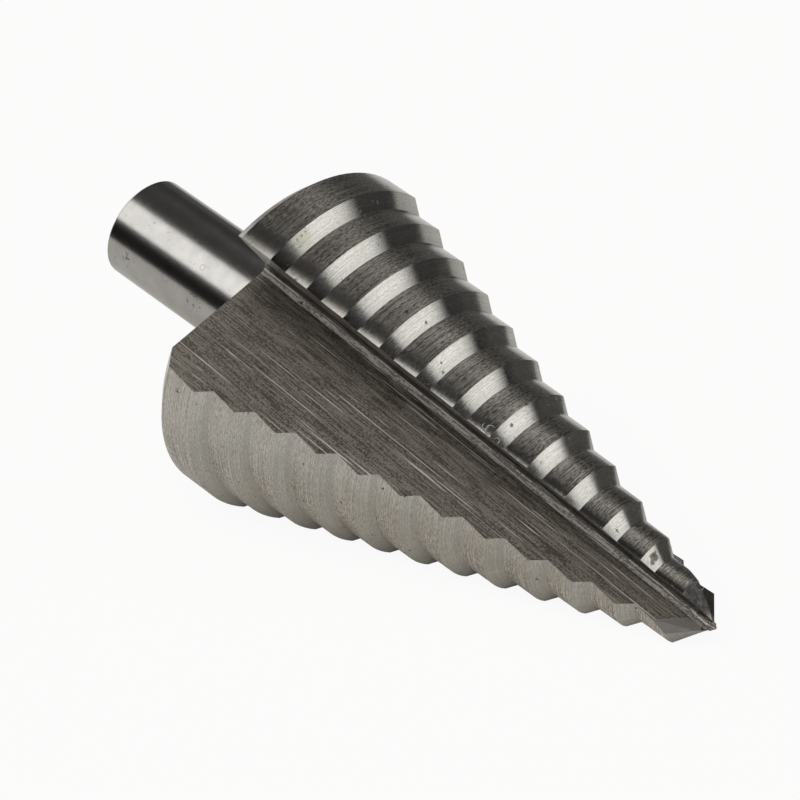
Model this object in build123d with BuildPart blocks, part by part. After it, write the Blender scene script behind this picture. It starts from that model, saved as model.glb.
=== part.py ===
import math
import os

from build123d import *

# Steps, in millimetres
smallest_diameter = 8.0
diameter_increment = 3.0
step_count = 12
step_land = 3.43
largest_land = 4.65
smallest_land = 4.05
step_chamfer_angle = 45.0
shoulder_chamfer = 1.5

# Shank
shank_diameter = 12.35
shank_length = 23.25
shank_end_chamfer = 0.3

# Relief behind each cutting edge, for a radian of turn
radial_relief = 0.265
axial_relief = 0.375

# Flutes: a V whose corner line runs in towards the axis at the point
flute_count = 3
flute_corner_radius = 10.59
flute_slope = 9.61
flute_offset = 0.53
flute_opening = 68.7
rake_wall_angle = 16.0
flute_root_radius = 0.88

# Point: each land ends in a flank, and its back corner is ground away
point_length = 3.66
flank_turn = 26.0
heel_facet_turn = 105.0
heel_facet_tilt = 69.0
heel_facet_rise = 0.3
heel_facet_reach = 90.0
web_radius = 0.6

# Core: a slim cone inside the flute roots, which joins the lands
core_tip_radius = 0.3

# Lands follow their spiral through this many sections, and reach this share into the core
sections_per_land = 9
land_depth_in_core = 0.5
# Turn by which a land runs on past its edge, into the flute that then trims it
edge_overrun = 1.5
# Clearance for tools that reach past the metal
overshoot = 2.0

largest_step = step_count - 1
step_drop = diameter_increment / 2
smallest_radius = smallest_diameter / 2
largest_radius = smallest_radius + largest_step * step_drop
chamfer_length = step_drop / math.tan(math.radians(step_chamfer_angle))
step_pitch = step_land + chamfer_length
largest_front = shoulder_chamfer + largest_land
shoulder_to_point = largest_front + largest_step * step_pitch - step_land + smallest_land
tip_height = shoulder_to_point + point_length
blank_height = tip_height + overshoot
land_turn = 360 / flute_count
floor_wall_angle = rake_wall_angle + flute_opening


def polar(radius, azimuth):
    """A point at a radius and an azimuth in degrees about the axis."""
    return Vector(radius, 0).rotate(Axis.Z, azimuth)


def flute_corner(height):
    """Corner of the V at a height, with the flute's radial plane along X."""
    run_in = height * math.tan(math.radians(flute_slope))
    return Vector(flute_corner_radius - run_in, -flute_offset)


def wall_point(height, radius, wall_angle):
    """Where a flute wall meets a circle about the axis."""
    corner = flute_corner(height)
    along = polar(1, wall_angle)
    middle = corner.dot(along)
    reach = math.sqrt(middle**2 - corner.dot(corner) + radius**2) - middle
    return corner + along * reach + Vector(0, 0, height)


def azimuth_of(point):
    """Azimuth of a point about the axis, in degrees."""
    return math.degrees(math.atan2(point.Y, point.X))


def step_front(step):
    """Height of a step's front edge, counting steps from 0 at the shoulder."""
    return largest_front + step * step_pitch


def heel_point(height, radius):
    """Back corner of a land behind its flute, dropped and slid back by the relief."""
    corner = wall_point(height, radius, floor_wall_angle)
    turn = math.radians(land_turn + edge_azimuth - azimuth_of(corner))
    return wall_point(height - axial_relief * turn, radius - radial_relief * turn, floor_wall_angle)


edge_azimuth = azimuth_of(wall_point(largest_front, largest_radius, rake_wall_angle))
lip_azimuth = azimuth_of(wall_point(shoulder_to_point, smallest_radius, rake_wall_angle))
sector_end = max(edge_azimuth, lip_azimuth) + edge_overrun


def core_radius(height):
    """Radius of the core at a height."""
    return shank_diameter / 2 + (core_tip_radius - shank_diameter / 2) * height / blank_height


def land_profile(azimuth):
    """Half section of a land, with its steps dropped and slid back by the relief."""
    turn = math.radians(edge_azimuth - azimuth)
    drop = radial_relief * turn
    slide = axial_relief * turn
    rim = largest_radius - drop
    points = [(core_radius(0) * land_depth_in_core, 0)]
    points += [(rim - shoulder_chamfer, 0), (rim, shoulder_chamfer)]
    for step in range(step_count):
        radius = rim - step * step_drop
        if step > 0:
            points.append((radius, step_front(step - 1) + chamfer_length - slide))
        if step < largest_step:
            points.append((radius, step_front(step) - slide))
    points.append((radius, blank_height))
    points.append((core_radius(blank_height) * land_depth_in_core, blank_height))
    return points


# One land's share of the stepped cone, lofted through its sections
with BuildPart() as land:
    for section in range(sections_per_land):
        azimuth = sector_end - land_turn * section / (sections_per_land - 1)
        radial_plane = Plane(origin=(0, 0, 0), x_dir=polar(1, azimuth), z_dir=polar(1, azimuth - 90))
        with BuildSketch(radial_plane):
            with BuildLine():
                Polyline(*land_profile(azimuth), close=True)
            make_face()
    loft()

# Shank and core in one turned piece
with BuildPart() as shank:
    with BuildSketch(Plane.XZ):
        with BuildLine():
            Polyline(
                (0, -shank_length),
                (shank_diameter / 2 - shank_end_chamfer, -shank_length),
                (shank_diameter / 2, shank_end_chamfer - shank_length),
                (shank_diameter / 2, overshoot),
                (core_radius(overshoot), overshoot),
                (core_radius(blank_height), blank_height),
                (0, blank_height),
                close=True,
            )
        make_face()
    revolve(axis=Axis.Z)

# V cutter of a flute, drawn below the shoulder and swept up its sloping line
cutter_start = -overshoot
cutter_reach = 2 * largest_radius
sweep_direction = Vector(-math.tan(math.radians(flute_slope)), 0, 1)
with BuildPart() as flute_cutter:
    with BuildSketch(Plane.XY.offset(cutter_start)):
        root = flute_corner(cutter_start)
        with BuildLine():
            Polyline(
                root + polar(cutter_reach, rake_wall_angle),
                root,
                root + polar(cutter_reach, floor_wall_angle),
                close=True,
            )
        make_face()
        fillet(vertices().sort_by_distance(root)[0], radius=flute_root_radius)
    extrude(amount=(blank_height + 2 * overshoot) * sweep_direction.length, dir=sweep_direction)

# Flank of a land: a plane through the tip and through the lip's outer corner
tip = Vector(0, 0, tip_height)
cap_base = shoulder_to_point - smallest_land
cap_height = blank_height + overshoot - cap_base
cap_radius = smallest_radius + step_drop / 2
flank_fall = point_length / smallest_radius / math.cos(math.radians(flank_turn))
flank_normal = polar(flank_fall, lip_azimuth - flank_turn) + Vector(0, 0, 1)
with BuildPart() as flank_cutter:
    with BuildSketch(Plane.XY.offset(cap_base)):
        Circle(cap_radius)
    extrude(amount=cap_height)
    split(bisect_by=Plane(origin=tip, z_dir=flank_normal), keep=Keep.TOP)

# Heel facet: the back corner of the same land, ground away within its own share
heel_azimuth = lip_azimuth - heel_facet_turn
heel_normal = polar(math.tan(math.radians(heel_facet_tilt)), heel_azimuth) + Vector(0, 0, 1)
heel_origin = tip + Vector(0, 0, heel_facet_rise)
heel_start = sector_end - land_turn
with BuildPart() as heel_cutter:
    with BuildSketch(Plane.XY.offset(cap_base)):
        with BuildLine():
            arc = CenterArc((0, 0), cap_radius, heel_start, heel_facet_reach)
            Polyline(arc @ 1, (0, 0), arc @ 0)
        make_face()
    extrude(amount=cap_height)
    split(bisect_by=Plane(origin=heel_origin, z_dir=heel_normal), keep=Keep.TOP)

# The whole drill, upright on its shank end
with BuildPart() as upright:
    add(shank.part)
    with PolarLocations(0, flute_count):
        add(land.part)
        add(flute_cutter.part, mode=Mode.SUBTRACT)
    # A web stands where the flutes would meet, and carries the tip
    with BuildSketch(Plane.XY.offset(cap_base)):
        Circle(web_radius)
    extrude(amount=cap_height)
    with PolarLocations(0, flute_count):
        add(flank_cutter.part, mode=Mode.SUBTRACT)
        add(heel_cutter.part, mode=Mode.SUBTRACT)

# Lying on one flute: on both corners of the largest step there, and on the point's lip
edge_contact = wall_point(largest_front, largest_radius, rake_wall_angle)
heel_contact = heel_point(largest_front, largest_radius)
lip_contact = wall_point(shoulder_to_point, smallest_radius, rake_wall_angle)
up = (lip_contact - edge_contact).cross(heel_contact - edge_contact).normalized()
along = Vector(0, 0, 1) - up * up.Z
rest_plane = Plane(origin=edge_contact, x_dir=along, z_dir=up)
lying_box = upright.part.moved(rest_plane.location.inverse()).bounding_box()
rest_origin = rest_plane.from_local_coords(Vector(lying_box.center().X, lying_box.center().Y))
rest_location = Plane(origin=rest_origin, x_dir=along, z_dir=up).location.inverse()
with BuildPart() as step_drill:
    with Locations(rest_location):
        add(upright.part)

step_drill.part.label = "step_drill"
os.makedirs("parts", exist_ok=True)
export_step(step_drill.part, "parts/step_drill.step")
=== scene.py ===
"""A step drill in a plain studio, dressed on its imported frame."""

import math

import bpy
from mathutils import Matrix, Vector


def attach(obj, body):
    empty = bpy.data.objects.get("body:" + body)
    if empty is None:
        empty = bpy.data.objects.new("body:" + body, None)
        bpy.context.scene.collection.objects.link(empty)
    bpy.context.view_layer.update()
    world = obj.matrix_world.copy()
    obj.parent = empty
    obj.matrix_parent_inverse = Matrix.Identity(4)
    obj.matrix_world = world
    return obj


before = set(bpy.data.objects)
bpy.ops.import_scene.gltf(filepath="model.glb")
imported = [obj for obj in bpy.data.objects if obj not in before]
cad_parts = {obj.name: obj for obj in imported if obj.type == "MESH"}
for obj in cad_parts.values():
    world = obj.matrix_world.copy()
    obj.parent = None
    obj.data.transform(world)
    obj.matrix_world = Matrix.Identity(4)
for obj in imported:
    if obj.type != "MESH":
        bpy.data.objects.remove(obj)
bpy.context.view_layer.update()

# The drill's own frame: millimetres from the shoulder's centre, with Z towards the point
MM = 0.001
SHOULDER = Vector((-19.2212, -0.1387, 19.4035)) * MM
AXIS_DROP = math.radians(15.126)
FLUTE_TURN = math.radians(-33.107)

# Sizes of the drill that its grinding follows, in millimetres and radians
SHANK_RADIUS = 6.175
LARGEST_FRONT = 6.15
STEP_PITCH = 4.93
POINT_START = 57.2
FLUTE_COUNT = 3
LAND_TURN = math.radians(360 / FLUTE_COUNT)
FLUTE_CORNER_RADIUS = 10.59
FLUTE_OFFSET = 0.53
FLUTE_SLOPE = math.radians(9.61)
RAKE_WALL_ANGLE = math.radians(16)
FLOOR_WALL_ANGLE = math.radians(84.7)
EDGE_AZIMUTH = math.radians(7.3)
# Each flute's share of the turn starts this long before its radial plane
FLUTE_LEAD = math.radians(30)
# Relief for a radian of turn behind a cutting edge
RADIAL_RELIEF = 0.265
AXIAL_RELIEF = 0.375

# How faces are sorted into regions
FLUTE_TOLERANCE = 0.02
WEB_REACH = 0.9
# Least lean towards the point of the normals of its flanks and of its heel facets
FLANK_LEAST_LEAN = 0.5
HEEL_LEAST_LEAN = 0.2
# Lean of a normal between which a straight land turns into a chamfer
CHAMFER_LEAN = (0.3, 0.5)

# Turns behind a cutting edge between which the finish of a land changes
COARSE_STARTS = (0.06, 0.2)
COARSE_FADES = (0.6, 1.0)
COARSE_AT_BACK = 0.25
# Turns between which a painted dark reflection lies just behind a cutting edge
SHADOW_STARTS = (0.02, 0.07)
SHADOW_ENDS = (0.22, 0.1)
# Millimetres past a front edge, and along a land behind its cutting edge
INNER_BAND_STARTS = (0.95, 1.1)
EDGE_BURR_FADES = (1.6, 0.3)

# Places across a flute, about in millimetres: below 0 on the rake wall, above 0 on the floor wall
STRIP_STARTS = (-0.02, 0.1)
STRIP_ENDS = (0.86, 0.76)
STRIP_DARKENS = (0.0, 0.3)
STRIP_DARKENING = 0.42
BOTTOM_SHADOW_FADES = (0.8, 6.0)
BOTTOM_SHADOW = 0.22
RAKE_STARTS = (-0.1, -0.6)
RAKE_SHADOW_STARTS = (-2.6, -0.6)
NICKS_START = (-0.2, 0.0)
NICKS_END = (1.1, 0.8)
# Heel facet at the point: on a flute's floor wall it lies beyond this sloping line
HEEL_LINE_SLOPE = 0.932
HEEL_LINE_START = 62.97
HEEL_LINE_BLUR = 0.05
HEEL_STARTS = (0.7, 0.8)

# Heights between which the glints near the tip set in
TIP_STARTS = (61.8, 63.0)

# Marks of use, each with its place in the drill's own frame and its size in millimetres
STAINS = {
    "seventh_chamfer": ((-6.6, -8.65, 36.2), 0.28),
    "fourth_land": ((-10.7, -11.8, 19.85), 0.3),
    "last_chamfer": ((-3.05, -3.7, 55.95), 0.65),
    "last_chamfer_small": ((-2.5, -3.9, 56.3), 0.35),
}
LAND_DIRT = {
    "first_chamfer": ((-12.1, -16.0, 6.35), 0.8),
    "first_chamfer_small": ((-10.9, -16.5, 6.7), 0.7),
}
STAIN_HALO = ((-11.6, -16.2, 6.5), 1.3)
POINT_DIRT = ((-1.6, -1.6, 61.6), 2.7)
POINT_SOOT = ((-1.9, 2.3, 61.2), 3.2)
# Marks on the shank: places with more specks, and thin rings with their radius
SHANK_DIRT = {
    "low": ((3.09, -5.34, -8.6), 1.5),
    "above_ring": ((1.5, -6.0, -13.6), 0.9),
    "far": ((3.5, -5.1, -19.5), 1.1),
}
SHANK_RINGS = {"lower": ((2.56, -5.62, -13.4), 0.55), "upper": ((-0.93, -6.1, -9.4), 0.32)}
RING_WIDTH = 0.09
RING_CORE = 0.3
# Share of a spot's size that is full, and how specks are made ragged and vary in size
SPOT_CORE = 0.6
SPECK_WOBBLE_SCALE = 5.0
SPECK_WOBBLE = 0.7
LEAST_SPECK = 0.3
# Curls of burr: centre, radius, and the turns at which each starts and ends
CURLS = {
    "burr_seventh_edge": ((-5.1, -10.25, 34.45), 0.35, 150, 380),
    "burr_seventh_corner": ((-5.1, -10.28, 35.2), 0.55, 60, 290),
    "burr_eighth_edge": ((-4.6, -10.4, 36.6), 0.3, -40, 170),
    "burr_sixth_chamfer": ((-11.4, -4.3, 31.1), 0.55, 100, 250),
    "burr_point": ((-2.75, -1.65, 61.25), 0.45, -60, 60),
}
CURL_THICKNESS = 0.045
CURL_LIFT = 0.08
CURL_WAVES = 3
CURL_STEPS = 8

# Steel, from the dark to the pale side of its grain
LAND_STEEL = ((0.2, 0.184, 0.16, 1), (0.66, 0.615, 0.56, 1))
SMOOTH_LAND_STEEL = ((0.38, 0.36, 0.33, 1), (0.46, 0.44, 0.405, 1))
CHAMFER_STEEL = ((0.36, 0.352, 0.323, 1), (0.5, 0.49, 0.454, 1))
FLUTE_WALL_STEEL = ((0.105, 0.092, 0.077, 1), (0.245, 0.22, 0.19, 1))
FLUTE_STRIP_STEEL = ((0.22, 0.205, 0.19, 1), (0.74, 0.7, 0.65, 1))
RAKE_STEEL = ((0.15, 0.14, 0.125, 1), (0.3, 0.285, 0.26, 1))
SHANK_STEEL = ((0.37, 0.36, 0.34, 1), (0.41, 0.4, 0.38, 1))
FLANK_STEEL = ((0.3, 0.288, 0.265, 1), (0.38, 0.366, 0.34, 1))
FLANK_GRIME = ((0.03, 0.028, 0.026, 1), (0.13, 0.124, 0.115, 1))
HEEL_STEEL = ((0.15, 0.143, 0.132, 1), (0.175, 0.167, 0.154, 1))
BURR_STEEL = ((0.35, 0.34, 0.31, 1), (0.75, 0.74, 0.7, 1))

# Colours laid over the steel
# Painted dark reflection just behind each cutting edge
EDGE_PAINTED_REFLECTION_TINT = (0.06, 0.056, 0.05, 1)
LAND_CLOUD_TINT = (0.33, 0.3, 0.25, 1)
DUST_TINT = (0.06, 0.055, 0.045, 1)
LAND_PIT_TINT = (0.05, 0.045, 0.035, 1)
HALO_TINT = (0.3, 0.28, 0.19, 1)
STAIN_TINT = (0.06, 0.056, 0.036, 1)
INNER_BAND_TINT = (0.33, 0.32, 0.3, 1)
EDGE_BURR_TINT = (0.8, 0.79, 0.75, 1)
BOTTOM_SHADOW_TINT = (0.06, 0.053, 0.045, 1)
WALL_BAND_TINT = (0.27, 0.24, 0.2, 1)
SCRATCH_TINT = (0.75, 0.72, 0.67, 1)
STRIP_SHADOW_TINT = (0.05, 0.046, 0.042, 1)
RAKE_SHADOW_TINT = (0.04, 0.037, 0.033, 1)
HEEL_ON_WALL_TINT = (0.25, 0.237, 0.218, 1)
FLUTE_PIT_TINT = (0.04, 0.035, 0.03, 1)
SOOT_TINT = (0.02, 0.019, 0.017, 1)
SHANK_DIRT_TINT = (0.08, 0.078, 0.05, 1)
RING_TINT = (0.12, 0.115, 0.09, 1)
GLINT_TINT = (0.85, 0.84, 0.8, 1)

# Values of a noise between which a clear grain and a soft cloud go from dark to pale
GRAIN_CONTRAST = (0.43, 0.57)
CLOUD_CONTRAST = (0.35, 0.65)

# Camera, at the photograph's angle
CAMERA_AIM = Vector((0.0002, -0.00176, 0.01644))
CAMERA_AZIMUTH = 43.899
CAMERA_ELEVATION = 25.928
CAMERA_ROLL = 2.056
CAMERA_DISTANCE = 0.37219
CAMERA_LENS = 152.2
CAMERA_SENSOR = 36
CAMERA_NEAREST = 0.01
CAMERA_FURTHEST = 10

# Floor: a pale disc that curves up into a low wall far from the drill
FLOOR_RADIUS = 0.9
FLOOR_RINGS = (0.25, 0.5, 1.0)
WALL_RADIUS = 1.3
WALL_HEIGHT = 0.12
FLOOR_SEGMENTS = 96
WALL_STEPS = 12
FLOOR_COLOUR = (0.93, 0.89, 0.82, 1)
# How white it shows to the camera and in the steel, where its glow is painted weaker near the drill as a
# painted shadow
FLOOR_WHITE_SEEN = 0.93
FLOOR_WHITE_MIRRORED = 0.5
FLOOR_SHADE_MIRRORED = 0.03
FLOOR_SHADE_CENTRE = (-0.008, 0.01, 0.0)
FLOOR_SHADE_REACH = (0.018, 0.05)
FLOOR_SHADE_STRETCH = (0.6, 1.0, 0.0)

# Glowing panels, in degrees and metres: level edges are an elevation and half a turn
# A hot spot is full within one angle of its direction and gone at another
PANELS = {
    "key": dict(azimuth=0, top=(71, 55), bottom=(16.5, 62), distance=1.2, radiance=1.9),
    "side": dict(
        azimuth=120.5,
        top=(46, 25),
        bottom=(4, 23),
        distance=1.0,
        radiance=1.65,
        hot=dict(azimuth=116, elevation=24, full=5, gone=26),
    ),
    "back": dict(
        azimuth=-176,
        top=(76, 40),
        bottom=(49, 26),
        distance=1.0,
        radiance=0.8,
        hot=dict(azimuth=-172, elevation=63, full=6, gone=27),
    ),
    "low": dict(azimuth=-152, top=(21, 22), bottom=(3, 22), distance=1.0, radiance=0.13),
}
# Dark cards that stand on the floor, in degrees and metres
FLAGS = {
    "left_flag": dict(azimuth=-45, distance=0.2, width=0.4, height=0.09, shade=0.01),
    "near_flag": dict(azimuth=72, distance=1.0, width=0.66, height=0.8, shade=0.01),
    # The grey card behind the drill stands in for the drill's shadow on the floor: a painted shadow that
    # only the steel mirrors
    "back_card": dict(azimuth=146, distance=0.12, width=0.1, height=0.045, shade=0.2),
}
WORLD_COLOUR = (0.07, 0.07, 0.07, 1)


def drill_matrix():
    """Turns the drill's own frame to the way it lies."""
    return Matrix.Rotation(math.pi / 2 + AXIS_DROP, 3, "Y") @ Matrix.Rotation(FLUTE_TURN, 3, "Z")


DRILL_TURN = drill_matrix()
DRILL_AXIS = tuple(DRILL_TURN.col[2])


class ShaderTree:
    """A material's node tree, with a short call for each kind of node."""

    def __init__(self, name):
        self.material = bpy.data.materials.new(name)
        self.material.use_nodes = True
        self.tree = self.material.node_tree
        self.tree.nodes.clear()

    def feed(self, socket, value):
        """Links an output to a socket, or sets the socket's own value."""
        if isinstance(value, bpy.types.NodeSocket):
            self.tree.links.new(value, socket)
        else:
            socket.default_value = value

    def node(self, kind, inputs=None, **settings):
        """A node with its settings, and with its named sockets fed."""
        made = self.tree.nodes.new(kind)
        for key, value in settings.items():
            setattr(made, key, value)
        for name, value in (inputs or {}).items():
            self.feed(made.inputs[name], value)
        return made

    def in_order(self, kind, values, **settings):
        """A node whose sockets take the values in their order."""
        made = self.node(kind, **settings)
        for socket, value in zip(made.inputs, values):
            self.feed(socket, value)
        return made

    def math(self, operation, *values):
        return self.in_order("ShaderNodeMath", values, operation=operation).outputs[0]

    def vector_math(self, operation, *values):
        made = self.in_order("ShaderNodeVectorMath", values, operation=operation)
        return made.outputs["Value" if operation in ("DOT_PRODUCT", "LENGTH") else "Vector"]

    def vector(self, *parts):
        return self.in_order("ShaderNodeCombineXYZ", parts).outputs[0]

    def split(self, vector):
        """X, Y and Z of a vector."""
        return tuple(self.in_order("ShaderNodeSeparateXYZ", [vector]).outputs)

    def between(self, value, start, end, low=0.0, high=1.0):
        """Goes smoothly from low at start to high at end."""
        inputs = {"Value": value, "From Min": start, "From Max": end, "To Min": low, "To Max": high}
        return self.node("ShaderNodeMapRange", inputs, interpolation_type="SMOOTHSTEP").outputs[0]

    def noise(self, vector, scale, detail=2.0, roughness=0.5, output="Fac"):
        inputs = {"Vector": vector, "Scale": scale, "Detail": detail, "Roughness": roughness}
        return self.node("ShaderNodeTexNoise", inputs).outputs[output]

    def mix(self, factor, first, second):
        inputs = {"Factor": factor, "A": first, "B": second}
        return self.node("ShaderNodeMix", inputs, data_type="RGBA").outputs["Result"]

    def finished(self, shader):
        """The material, with this shader on its surface."""
        self.node("ShaderNodeOutputMaterial", {"Surface": shader.outputs[0]})
        return self.material


def product(tree, *values):
    """Values multiplied in their order."""
    result = values[0]
    for value in values[1:]:
        result = tree.math("MULTIPLY", result, value)
    return result


def blend(tree, *parts, base=0.0):
    """A base plus the sum of values, each with its own weight."""
    total = 0.0
    for value, weight in parts:
        total = tree.math("MULTIPLY_ADD", value, weight, total)
    return tree.math("ADD", total, base) if base else total


def centred(tree, noise):
    """A noise less its middle value."""
    return tree.math("SUBTRACT", noise, 0.5)


def stained(tree, colour, *layers):
    """Colour under layers, lowest first: each has its spots, its share there and its tint."""
    for spots, share, tint in layers:
        colour = tree.mix(tree.math("MULTIPLY", spots, share), colour, tint)
    return colour


def drill_coordinates(tree):
    """Position in the drill's own frame, in millimetres."""
    inputs = {
        "Vector": tree.node("ShaderNodeTexCoord").outputs["Object"],
        "Location": SHOULDER,
        "Rotation": DRILL_TURN.to_euler("XYZ"),
        "Scale": (MM, MM, MM),
    }
    return tree.node("ShaderNodeMapping", inputs, vector_type="TEXTURE").outputs[0]


def drill_surface(tree):
    """Where a point of the surface lies about the drill's axis."""
    position = drill_coordinates(tree)
    x, y, z = tree.split(position)
    squared = tree.math("ADD", tree.math("MULTIPLY", x, x), tree.math("MULTIPLY", y, y))
    return {
        "position": position,
        "height": z,
        "radius": tree.math("SQRT", squared),
        "azimuth": tree.math("ARCTAN2", y, x),
    }


def land_surface(tree):
    """Where a point lies about the axis and on the relief-ground steps."""
    place = drill_surface(tree)
    behind = tree.math("SUBTRACT", EDGE_AZIMUTH, place["azimuth"])
    turn = tree.math("FLOORED_MODULO", behind, LAND_TURN)
    place["turn"] = turn
    place["arc"] = tree.math("MULTIPLY", turn, place["radius"])
    place["sector"] = tree.math("FLOOR", tree.math("DIVIDE", behind, LAND_TURN))
    # Radius and height that the point's step has at the cutting edge
    rim = tree.math("MULTIPLY_ADD", turn, RADIAL_RELIEF, place["radius"])
    front = tree.math("MULTIPLY_ADD", turn, AXIAL_RELIEF, place["height"])
    place["profile"] = tree.math("SUBTRACT", front, rim)
    # Distance along the axis from the last front edge: a chamfer first, then a land
    past_front = tree.math("SUBTRACT", front, LARGEST_FRONT)
    place["past_front"] = tree.math("FLOORED_MODULO", past_front, STEP_PITCH)
    return place


def flute_surface(tree):
    """Where a point lies about the axis and in the V of its flute."""
    place = drill_surface(tree)
    # The same point turned back to the first flute, less the flute's corner
    home = tree.math("FLOORED_MODULO", tree.math("ADD", place["azimuth"], FLUTE_LEAD), LAND_TURN)
    home = tree.math("SUBTRACT", home, FLUTE_LEAD)
    flute_x = tree.math("MULTIPLY", place["radius"], tree.math("COSINE", home))
    flute_y = tree.math("MULTIPLY", place["radius"], tree.math("SINE", home))
    across = tree.math("SUBTRACT", flute_x, FLUTE_CORNER_RADIUS)
    place["across"] = tree.math("MULTIPLY_ADD", place["height"], math.tan(FLUTE_SLOPE), across)
    place["aside"] = tree.math("ADD", flute_y, FLUTE_OFFSET)
    # From one wall to the other, with 0 at the corner of the V
    rake_share = math.cos(FLOOR_WALL_ANGLE) - math.cos(RAKE_WALL_ANGLE)
    floor_share = math.sin(FLOOR_WALL_ANGLE) - math.sin(RAKE_WALL_ANGLE)
    beside = tree.math("MULTIPLY", place["aside"], floor_share)
    place["beside"] = tree.math("MULTIPLY_ADD", place["across"], rake_share, beside)
    return place


def surface_normal(tree):
    """Normal of the surface, before any relief."""
    return tree.node("ShaderNodeNewGeometry").outputs["Normal"]


def across_axis(tree):
    """Direction on the surface that lies across the drill's axis."""
    return tree.vector_math("CROSS_PRODUCT", surface_normal(tree), DRILL_AXIS)


def along_axis(tree):
    """Direction on the surface that runs most along the drill's axis."""
    normal = surface_normal(tree)
    return tree.vector_math("CROSS_PRODUCT", normal, tree.vector_math("CROSS_PRODUCT", DRILL_AXIS, normal))


def chamfer_mask(tree):
    """1 on the slanted chamfers, 0 on the straight lands."""
    normal = tree.node("ShaderNodeNewGeometry").outputs["True Normal"]
    return tree.between(tree.vector_math("DOT_PRODUCT", normal, DRILL_AXIS), *CHAMFER_LEAN)


def specks(tree, position, density, size, chance):
    """1 in small ragged spots, scattered through space with a given chance a cell."""
    wobble = tree.noise(position, SPECK_WOBBLE_SCALE, output="Color")
    away = tree.vector_math("SUBTRACT", wobble, (0.5, 0.5, 0.5))
    shaken = tree.vector_math("MULTIPLY_ADD", away, (SPECK_WOBBLE, SPECK_WOBBLE, SPECK_WOBBLE), position)
    cells = tree.node("ShaderNodeTexVoronoi", {"Vector": shaken, "Scale": density})
    first_draw, second_draw, _ = tree.split(cells.outputs["Color"])
    drawn = tree.math("LESS_THAN", first_draw, chance)
    share = tree.math("MULTIPLY_ADD", second_draw, 1 - LEAST_SPECK, LEAST_SPECK)
    reach = tree.math("MULTIPLY", share, size)
    spot = tree.between(cells.outputs["Distance"], reach, tree.math("MULTIPLY", reach, SPOT_CORE))
    return tree.math("MULTIPLY", spot, drawn)


def blotch(tree, position, centre, size, ragged):
    """1 in one ragged spot about a point of the drill's frame."""
    away = tree.vector_math("LENGTH", tree.vector_math("SUBTRACT", position, centre))
    edge = centred(tree, tree.noise(position, 3.0 / size, 3.0))
    shifted = tree.math("MULTIPLY_ADD", edge, 2 * ragged * size, away)
    return tree.between(shifted, size, SPOT_CORE * size)


def placed_blotches(tree, position, places, ragged):
    """1 in the ragged spots about the placed centres."""
    total = 0.0
    for centre, size in places.values():
        total = tree.math("MAXIMUM", total, blotch(tree, position, centre, size, ragged))
    return total


def dirty_places(tree, position, places):
    """1 in the specks that gather about the placed centres."""
    near = placed_blotches(tree, position, places, ragged=0.4)
    return product(tree, near, specks(tree, position, density=2.2, size=0.62, chance=0.9))


def ring_marks(tree, position, places):
    """1 on thin rings about the placed centres."""
    total = 0.0
    for centre, radius in places.values():
        away = tree.vector_math("LENGTH", tree.vector_math("SUBTRACT", position, centre))
        off = tree.math("ABSOLUTE", tree.math("SUBTRACT", away, radius))
        total = tree.math("MAXIMUM", total, tree.between(off, RING_WIDTH, RING_CORE * RING_WIDTH))
    return total


def bump(tree, height, depth):
    """Normal with small relief: depth is in millimetres for a height of 1."""
    return tree.node("ShaderNodeBump", {"Height": height, "Distance": depth * MM}).outputs[0]


def steel(tree, colour, roughness, normal=None, tangent=None, anisotropy=0.0, metallic=1.0):
    """Bare ground steel, with its highlights drawn out by the grain."""
    inputs = {
        "Base Color": colour,
        "Metallic": metallic,
        "Roughness": roughness,
        "Anisotropic": anisotropy,
    }
    if normal is not None:
        inputs["Normal"] = normal
    if tangent is not None:
        inputs["Tangent"] = tangent
    return tree.finished(tree.node("ShaderNodeBsdfPrincipled", inputs))


def land_grain(tree, place):
    """Marks round the axis: long lines and short hairs, and a texture of both with grit."""

    def marks(stretch, scale):
        along = tree.math("MULTIPLY", place["arc"], stretch)
        spot = tree.vector(along, place["profile"], place["sector"])
        return tree.noise(spot, scale, detail=0.0, roughness=0.65)

    lines = marks(stretch=0.015, scale=7.0)
    hairs = marks(stretch=0.2, scale=8.0)
    grit = tree.noise(place["position"], 9.0, detail=0.0)
    texture = blend(tree, (hairs, 0.35), (grit, 0.35), (lines, 0.3))
    return {"lines": lines, "hairs": hairs, "texture": texture}


def land_regions(tree, place):
    """The slanted chamfers, and the coarse part of the straight lands."""
    chamfer = chamfer_mask(tree)
    flat = tree.math("SUBTRACT", 1.0, chamfer)
    started = tree.between(place["turn"], *COARSE_STARTS)
    left_over = tree.between(place["turn"], *COARSE_FADES, 1.0, COARSE_AT_BACK)
    return {"chamfer": chamfer, "coarse": product(tree, flat, started, left_over)}


def land_colour(tree, place, grain, region):
    """Steel of the lands and chamfers, with a painted dark reflection just behind each edge and a few
    clouds.
    """
    shade = tree.between(grain["texture"], *GRAIN_CONTRAST)
    smooth = tree.mix(shade, *SMOOTH_LAND_STEEL)
    colour = tree.mix(region["coarse"], smooth, tree.mix(shade, *LAND_STEEL))
    # A painted dark reflection just behind each edge: colour that stands in for dark surroundings mirrored
    # in the smooth steel
    painted_reflection_started = tree.between(place["turn"], *SHADOW_STARTS)
    shadow = product(tree, painted_reflection_started, tree.between(place["turn"], *SHADOW_ENDS))
    colour = stained(tree, colour, (shadow, 0.6, EDGE_PAINTED_REFLECTION_TINT))
    colour = tree.mix(region["chamfer"], colour, tree.mix(shade, *CHAMFER_STEEL))
    cloud = tree.between(tree.noise(place["position"], 0.35, detail=2.0), 0.45, 0.75)
    return stained(tree, colour, (cloud, 0.25, LAND_CLOUD_TINT))


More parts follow.
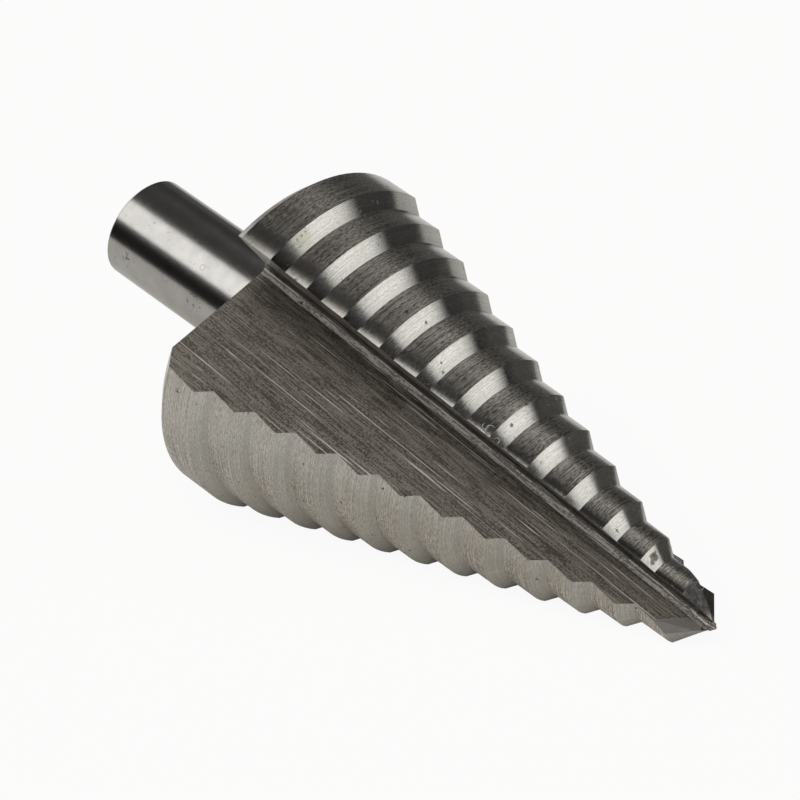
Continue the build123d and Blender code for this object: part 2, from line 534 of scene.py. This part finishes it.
def land_marks(tree, place, grain, region, pits, burr):
    """What lies on the lands: dust, pits, stains, a band at the foot of each chamfer, and burr."""
    position = place["position"]
    dust = specks(tree, position, density=2.8, size=0.14, chance=0.5)
    halo = blotch(tree, position, *STAIN_HALO, ragged=0.6)
    spots = placed_blotches(tree, position, STAINS, ragged=0.9)
    spots = tree.math("MAXIMUM", spots, dirty_places(tree, position, LAND_DIRT))
    band_started = tree.between(place["past_front"], *INNER_BAND_STARTS)
    band = product(tree, region["chamfer"], band_started, tree.between(grain["lines"], 0.3, 0.6))
    return (
        (dust, 0.7, DUST_TINT),
        (pits, 0.9, LAND_PIT_TINT),
        (halo, 0.45, HALO_TINT),
        (spots, 0.88, STAIN_TINT),
        (band, 0.5, INNER_BAND_TINT),
        (burr, 0.8, EDGE_BURR_TINT),
    )


def land_material():
    """Relief-ground steps: marks run round the axis, and are fine beside the edge and at the back."""
    tree = ShaderTree("land_steel")
    place = land_surface(tree)
    grain = land_grain(tree, place)
    region = land_regions(tree, place)
    chamfer, coarse, texture = region["chamfer"], region["coarse"], grain["texture"]
    pits = specks(tree, place["position"], density=1.2, size=0.26, chance=0.2)
    burr = specks(tree, place["position"], density=3.0, size=0.15, chance=0.4)
    burr = product(tree, burr, tree.between(place["arc"], *EDGE_BURR_FADES))
    colour = land_colour(tree, place, grain, region)
    colour = stained(tree, colour, *land_marks(tree, place, grain, region, pits, burr))
    uneven = centred(tree, grain["hairs"])
    rough = blend(tree, (coarse, 0.2), (chamfer, 0.02), (uneven, 0.12), (burr, 0.4), base=0.13)
    coarse_texture = product(tree, texture, coarse)
    relief = blend(tree, (coarse_texture, 0.6), (texture, 0.08), (pits, -0.4), (burr, 0.5))
    return steel(tree, colour, rough, bump(tree, relief, depth=0.05), along_axis(tree), anisotropy=0.4)


def flute_grain(tree, place):
    """Marks along the flute, from broad bands and long lines to short streaks and grit."""

    def streaks(length, scale, detail=0.0):
        along = tree.math("DIVIDE", place["height"], length)
        return tree.noise(tree.vector(place["across"], place["aside"], along), scale, detail, 0.6)

    return {
        "broad": streaks(length=60.0, scale=1.3, detail=1.0),
        "lines": streaks(length=80.0, scale=6.0),
        "fine": streaks(length=24.0, scale=7.5),
        "short": streaks(length=2.0, scale=7.0),
        "broken": streaks(length=9.0, scale=1.5, detail=2.0),
        "grit": tree.noise(place["position"], 7.0, detail=0.0),
    }


def flute_regions(tree, place):
    """The strip along the bottom, the rake wall, and the heel facet's share of the floor wall."""
    beside = place["beside"]
    strip = product(tree, tree.between(beside, *STRIP_STARTS), tree.between(beside, *STRIP_ENDS))
    past_line = tree.math("MULTIPLY_ADD", place["aside"], HEEL_LINE_SLOPE, place["height"])
    blur = (HEEL_LINE_START - HEEL_LINE_BLUR, HEEL_LINE_START + HEEL_LINE_BLUR)
    heel = product(tree, tree.between(past_line, *blur), tree.between(beside, *HEEL_STARTS))
    return {"strip": strip, "rake": tree.between(beside, *RAKE_STARTS), "heel": heel}


def flute_wall_colour(tree, place, grain, shade, scratch):
    """Steel of the floor wall: darker near the bottom, with broad bands and bright scratches."""
    near_bottom = tree.between(place["beside"], *BOTTOM_SHADOW_FADES, BOTTOM_SHADOW, 0.0)
    return stained(
        tree,
        tree.mix(shade, *FLUTE_WALL_STEEL),
        (near_bottom, 1.0, BOTTOM_SHADOW_TINT),
        (tree.between(grain["broad"], 0.45, 0.7), 0.3, WALL_BAND_TINT),
        (scratch, 0.75, SCRATCH_TINT),
    )


def flute_strip_colour(tree, place, grain):
    """Steel of the bottom's strip: paler, and darker on its far side."""
    texture = blend(tree, (grain["fine"], 0.5), (grain["short"], 0.3), (grain["grit"], 0.2))
    colour = tree.mix(tree.between(texture, *GRAIN_CONTRAST), *FLUTE_STRIP_STEEL)
    far_side = tree.between(place["beside"], *STRIP_DARKENS, 0.0, STRIP_DARKENING)
    return stained(tree, colour, (far_side, 1.0, STRIP_SHADOW_TINT))


def flute_colour(tree, place, grain, region, texture, scratch):
    """Steel of the whole flute, before pits and soot."""
    shade = tree.between(texture, *GRAIN_CONTRAST)
    near_root = tree.between(place["beside"], *RAKE_SHADOW_STARTS)
    rake_colour = tree.mix(shade, *RAKE_STEEL)
    rake_colour = stained(tree, rake_colour, (near_root, 0.35, RAKE_SHADOW_TINT))
    colour = flute_wall_colour(tree, place, grain, shade, scratch)
    colour = tree.mix(region["strip"], colour, flute_strip_colour(tree, place, grain))
    colour = tree.mix(region["rake"], colour, rake_colour)
    return stained(tree, colour, (region["heel"], 1.0, HEEL_ON_WALL_TINT))


def flute_pits(tree, place):
    """Pits all over the flute, and long nicks along its bottom."""
    pits = specks(tree, place["position"], density=1.2, size=0.24, chance=0.2)
    drawn_out = tree.vector_math("MULTIPLY", place["position"], (1.0, 1.0, 0.5))
    nicks = specks(tree, drawn_out, density=1.3, size=0.3, chance=0.35)
    nicks_started = tree.between(place["beside"], *NICKS_START)
    nicks = product(tree, nicks, nicks_started, tree.between(place["beside"], *NICKS_END))
    return tree.math("MAXIMUM", pits, nicks)


def flute_material():
    """Flute walls: long straight grinding marks along the flute, and a paler strip along its bottom."""
    tree = ShaderTree("flute_steel")
    place = flute_surface(tree)
    grain = flute_grain(tree, place)
    region = flute_regions(tree, place)
    strip, rake, heel = region["strip"], region["rake"], region["heel"]
    texture = blend(tree, (grain["fine"], 0.4), (grain["short"], 0.3), (grain["grit"], 0.3))
    in_line = tree.between(grain["lines"], 0.69, 0.75)
    scratch = product(tree, in_line, tree.between(grain["broken"], 0.4, 0.55))
    pits = flute_pits(tree, place)
    soot = blotch(tree, place["position"], *POINT_SOOT, ragged=0.1)
    colour = flute_colour(tree, place, grain, region, texture, scratch)
    colour = stained(tree, colour, (pits, 0.9, FLUTE_PIT_TINT), (soot, 0.85, SOOT_TINT))
    off_heel = tree.math("SUBTRACT", 1.0, heel)
    uneven = product(tree, centred(tree, grain["fine"]), off_heel)
    rough = blend(tree, (uneven, 0.25), (rake, -0.18), (strip, 0.2), (heel, -0.05), base=0.4)
    relief = blend(tree, (texture, 1.0), (scratch, 0.3), (pits, -0.4))
    relief = product(tree, relief, off_heel)
    return steel(tree, colour, rough, bump(tree, relief, depth=0.03), across_axis(tree), anisotropy=0.6)


def shank_material():
    """Polished shank: nearly a mirror, with faint marks round it and a few small pits."""
    tree = ShaderTree("shank_steel")
    place = drill_surface(tree)
    position = place["position"]
    round_shank = tree.math("MULTIPLY", place["azimuth"], 0.5)
    marks = tree.noise(tree.vector(round_shank, 0.0, place["height"]), 6.0, detail=4.0, roughness=0.7)
    grit = tree.noise(position, 6.5, detail=0.0)
    cloud = tree.between(tree.noise(position, 0.5, detail=3.0), 0.35, 0.7)
    pits = specks(tree, position, density=1.4, size=0.2, chance=0.3)
    colour = stained(
        tree,
        tree.mix(cloud, *SHANK_STEEL),
        (pits, 0.8, DUST_TINT),
        (dirty_places(tree, position, SHANK_DIRT), 0.75, SHANK_DIRT_TINT),
        (ring_marks(tree, position, SHANK_RINGS), 0.3, RING_TINT),
    )
    rough = blend(tree, (centred(tree, marks), 0.1), (centred(tree, grit), 0.1), base=0.2)
    relief = blend(tree, (marks, 0.4), (grit, 0.5), (pits, -1.0))
    return steel(tree, colour, rough, bump(tree, relief, depth=0.004))


def point_material():
    """Flanks of the point: grey, with swirls from grinding, and dirt with bright glints on one of them."""
    tree = ShaderTree("point_steel")
    place = drill_surface(tree)
    position = place["position"]
    round_point = tree.math("MULTIPLY", place["azimuth"], 0.8)
    swirl = tree.noise(tree.vector(round_point, place["radius"], 0.0), 5.0, detail=2.0)
    cloud = tree.noise(position, 1.6, detail=4.0, roughness=0.7)
    grit = tree.noise(position, 6.0, detail=1.0)
    dirt = blotch(tree, position, *POINT_DIRT, ragged=0.15)
    grime = tree.mix(tree.between(cloud, 0.4, 0.65), *FLANK_GRIME)
    bright = specks(tree, position, density=3.0, size=0.2, chance=0.35)
    glints = product(tree, bright, tree.between(place["height"], *TIP_STARTS), dirt)
    colour = tree.mix(dirt, tree.mix(tree.between(swirl, *CLOUD_CONTRAST), *FLANK_STEEL), grime)
    colour = stained(tree, colour, (glints, 1.0, GLINT_TINT))
    rough = blend(tree, (dirt, 0.2), (cloud, 0.2), (glints, 0.1), base=0.15)
    lumps = product(tree, dirt, blend(tree, (cloud, 1.0), (grit, 0.5)))
    relief = blend(tree, (swirl, 0.2), (lumps, 1.0), (glints, 0.6))
    metallic = blend(tree, (dirt, -0.7), (glints, 0.7), base=1.0)
    return steel(tree, colour, rough, bump(tree, relief, depth=0.05), metallic=metallic)


def heel_material():
    """Heel facets of the point: smooth, darker than the flanks."""
    tree = ShaderTree("heel_steel")
    position = drill_coordinates(tree)
    cloud = tree.noise(position, 0.8, detail=2.0)
    grit = tree.noise(position, 6.0, detail=0.0)
    colour = tree.mix(tree.between(cloud, *CLOUD_CONTRAST), *HEEL_STEEL)
    rough = tree.math("MULTIPLY_ADD", grit, 0.1, 0.28)
    return steel(tree, colour, rough, bump(tree, grit, depth=0.004))


def burr_material():
    """Bright torn steel."""
    tree = ShaderTree("burr_steel")
    cloud = tree.noise(drill_coordinates(tree), 4.0, detail=2.0)
    return steel(tree, tree.mix(tree.between(cloud, *CLOUD_CONTRAST), *BURR_STEEL), 0.4)


def in_flute(spot):
    """Whether a point of the drill's frame lies in one of the flutes or on its walls."""
    for flute in range(FLUTE_COUNT):
        home = Matrix.Rotation(-flute * LAND_TURN, 3, "Z") @ spot
        across = home.x - FLUTE_CORNER_RADIUS + home.z * math.tan(FLUTE_SLOPE)
        aside = home.y + FLUTE_OFFSET
        above_rake = aside * math.cos(RAKE_WALL_ANGLE) - across * math.sin(RAKE_WALL_ANGLE)
        above_floor = across * math.sin(FLOOR_WALL_ANGLE) - aside * math.cos(FLOOR_WALL_ANGLE)
        if min(above_rake, above_floor) > -FLUTE_TOLERANCE:
            return True
    return False


def region_of(face, matrix_to_drill):
    """The region of the drill that a face belongs to."""
    centre = matrix_to_drill @ (face.center - SHOULDER) / MM
    lean = (matrix_to_drill @ face.normal).z
    radius = math.hypot(centre.x, centre.y)
    if centre.z < FLUTE_TOLERANCE and radius < SHANK_RADIUS + FLUTE_TOLERANCE:
        return "shank"
    if in_flute(centre):
        return "flute"
    if centre.z > POINT_START and (lean > FLANK_LEAST_LEAN or radius < WEB_REACH):
        return "point"
    if centre.z > POINT_START and lean > HEEL_LEAST_LEAN:
        return "heel"
    return "land"


def dress(node, materials):
    """Gives each face of the drill its region's material."""
    regions = list(materials)
    node.data.materials.clear()
    for material in materials.values():
        node.data.materials.append(material)
    to_drill = DRILL_TURN.transposed()
    for face in node.data.polygons:
        face.material_index = regions.index(region_of(face, to_drill))


def add_object(name, data):
    """A new object with this data, in the scene."""
    added = bpy.data.objects.new(name, data)
    bpy.context.scene.collection.objects.link(added)
    return added


def add_curl(name, centre, radius, start, end, material):
    """A fine curl of burr that lies on the steel."""
    centre = Vector(centre)
    outward = Vector((centre.x, centre.y, 0)).normalized()
    along = Vector((0, 0, 1))
    aside = outward.cross(along)
    middle = centre + outward * CURL_LIFT
    curve = bpy.data.curves.new(name, "CURVE")
    curve.dimensions = "3D"
    curve.bevel_depth = CURL_THICKNESS * MM
    curve.bevel_resolution = 1
    spline = curve.splines.new("POLY")
    spline.points.add(CURL_STEPS)
    for step in range(CURL_STEPS + 1):
        turn = math.radians(start + (end - start) * step / CURL_STEPS)
        spot = middle + (along * math.cos(turn) + aside * math.sin(turn)) * radius
        spot += outward * CURL_LIFT * math.sin(CURL_WAVES * turn)
        spline.points[step].co = (*(SHOULDER + DRILL_TURN @ spot * MM), 1.0)
    curve.materials.append(material)
    curl = add_object(name, curve)
    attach(curl, "root")


def direction(azimuth, elevation):
    """Unit vector towards a viewer or lamp at that azimuth and elevation, in degrees."""
    turn, rise = math.radians(azimuth), math.radians(elevation)
    return Vector((math.sin(turn) * math.cos(rise), -math.cos(turn) * math.cos(rise), math.sin(rise)))


def add_camera():
    """The photograph's camera: a level view of the drill, turned by the roll."""
    camera = add_object("camera", bpy.data.cameras.new("camera"))
    back = direction(CAMERA_AZIMUTH, CAMERA_ELEVATION)
    camera.location = CAMERA_AIM + back * CAMERA_DISTANCE
    level = (-back).to_track_quat("-Z", "Y").to_matrix()
    turned = level @ Matrix.Rotation(math.radians(-CAMERA_ROLL), 3, "Z")
    camera.rotation_mode = "QUATERNION"
    camera.rotation_quaternion = turned.to_quaternion()
    camera.data.sensor_width = CAMERA_SENSOR
    camera.data.lens = CAMERA_LENS
    camera.data.clip_start = CAMERA_NEAREST
    camera.data.clip_end = CAMERA_FURTHEST
    bpy.context.scene.camera = camera


def fading_glow(tree, radiance, azimuth, elevation, full, gone):
    """Radiance that fades outwards from a hot spot, seen from the drill."""
    place = tree.node("ShaderNodeTexCoord").outputs["Object"]
    towards = tree.vector_math("NORMALIZE", tree.vector_math("SUBTRACT", place, CAMERA_AIM))
    nearness = tree.vector_math("DOT_PRODUCT", towards, direction(azimuth, elevation))
    gone_at, full_at = math.cos(math.radians(gone)), math.cos(math.radians(full))
    return tree.between(nearness, gone_at, full_at, 0.0, radiance)


def panel_material(name, radiance, hot):
    """Glow of a panel, even or with a hot spot."""
    tree = ShaderTree(name + "_glow")
    strength = fading_glow(tree, radiance, **hot) if hot else radiance
    return tree.finished(tree.node("ShaderNodeEmission", {"Strength": strength}))


def add_panel(name, azimuth, top, bottom, distance, radiance, hot=None):
    """A glowing panel that faces the drill and isn't seen itself."""
    corners = []
    for (elevation, half_turn), side in ((top, -1), (top, 1), (bottom, 1), (bottom, -1)):
        corners.append(CAMERA_AIM + direction(azimuth + side * half_turn, elevation) * distance)
    mesh = bpy.data.meshes.new(name)
    mesh.from_pydata(corners, [], [(0, 1, 2, 3)])
    mesh.materials.append(panel_material(name, radiance, hot))
    panel = add_object(name, mesh)
    panel.visible_camera = False


def card_material(name, shade):
    """Plain matt grey."""
    tree = ShaderTree(name + "_card")
    return tree.finished(tree.node("ShaderNodeBsdfDiffuse", {"Color": (shade, shade, shade, 1)}))


def add_flag(name, azimuth, distance, width, height, shade):
    """A dark card that stands on the floor and only shows in the steel."""
    towards = direction(azimuth, 0)
    aside = Vector((0, 0, 1)).cross(towards) * width / 2
    foot = towards * distance
    rise = Vector((0, 0, height))
    corners = [foot - aside, foot + aside, foot + aside + rise, foot - aside + rise]
    mesh = bpy.data.meshes.new(name)
    mesh.from_pydata(corners, [], [(0, 1, 2, 3)])
    mesh.materials.append(card_material(name, shade))
    card = add_object(name, mesh)
    card.visible_camera = False
    card.visible_diffuse = False
    card.visible_shadow = False


def floor_profile():
    """Radius and height of the floor's rings, from its middle to the top of its wall."""
    rings = [(FLOOR_RADIUS * share, 0.0) for share in FLOOR_RINGS]
    for step in range(1, WALL_STEPS + 1):
        turn = math.pi / 2 * step / WALL_STEPS
        radius = FLOOR_RADIUS + (WALL_RADIUS - FLOOR_RADIUS) * math.sin(turn)
        rings.append((radius, WALL_HEIGHT * (1 - math.cos(turn))))
    return rings


def floor_glow_share(tree):
    """How much of the floor is plain white: for the camera, and for what mirrors or passes it, with a
    painted shadow near the drill.
    """
    path = tree.node("ShaderNodeLightPath").outputs
    place = tree.node("ShaderNodeTexCoord").outputs["Object"]
    off = tree.vector_math("SUBTRACT", place, FLOOR_SHADE_CENTRE)
    away = tree.vector_math("LENGTH", tree.vector_math("MULTIPLY", off, FLOOR_SHADE_STRETCH))
    # Painted shadow: the glow that the steel mirrors is weaker near the drill
    painted_shadow_glow_share = tree.between(away, *FLOOR_SHADE_REACH, FLOOR_SHADE_MIRRORED, FLOOR_WHITE_MIRRORED)
    mirrored = tree.math("MAXIMUM", path["Is Glossy Ray"], path["Is Transmission Ray"])
    direct = tree.math("MULTIPLY", path["Is Camera Ray"], FLOOR_WHITE_SEEN)
    return tree.math("MULTIPLY_ADD", mirrored, painted_shadow_glow_share, direct)


def floor_material():
    """Pale floor: it shows nearly white, and keeps a soft shadow that the steel mirrors, partly real and
    partly painted into its glow.
    """
    tree = ShaderTree("pale_floor")
    diffuse = tree.node("ShaderNodeBsdfDiffuse", {"Color": FLOOR_COLOUR})
    glow = tree.node("ShaderNodeEmission", {"Color": (1, 1, 1, 1), "Strength": 1.0})
    parts = (floor_glow_share(tree), diffuse.outputs[0], glow.outputs[0])
    return tree.finished(tree.in_order("ShaderNodeMixShader", parts))


def add_floor():
    """The floor's disc and wall, ring by ring from the middle."""
    rings = floor_profile()
    points = [(0.0, 0.0, 0.0)]
    for radius, height in rings:
        for segment in range(FLOOR_SEGMENTS):
            turn = 2 * math.pi * segment / FLOOR_SEGMENTS
            points.append((radius * math.cos(turn), radius * math.sin(turn), height))
    faces = []
    for segment in range(FLOOR_SEGMENTS):
        following = (segment + 1) % FLOOR_SEGMENTS
        faces.append((0, 1 + segment, 1 + following))
        for ring in range(len(rings) - 1):
            inner = 1 + ring * FLOOR_SEGMENTS
            outer = inner + FLOOR_SEGMENTS
            faces.append((inner + segment, outer + segment, outer + following, inner + following))
    mesh = bpy.data.meshes.new("floor")
    mesh.from_pydata(points, [], faces)
    mesh.shade_smooth()
    mesh.materials.append(floor_material())
    floor = add_object("floor", mesh)


def add_world():
    """Dim even light from all round."""
    world = bpy.data.worlds.new("studio")
    world.use_nodes = True
    background = world.node_tree.nodes["Background"]
    background.inputs["Color"].default_value = WORLD_COLOUR
    background.inputs["Strength"].default_value = 1.0
    bpy.context.scene.world = world


bpy.context.scene.view_settings.view_transform = "Standard"
dress(
    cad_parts["step_drill"],
    {
        "shank": shank_material(),
        "land": land_material(),
        "flute": flute_material(),
        "point": point_material(),
        "heel": heel_material(),
    },
)
burr_steel = burr_material()
for name, curl_settings in CURLS.items():
    add_curl(name, *curl_settings, burr_steel)
add_floor()
add_world()
for name, panel_settings in PANELS.items():
    add_panel(name, **panel_settings)
for name, flag_settings in FLAGS.items():
    add_flag(name, **flag_settings)
add_camera()
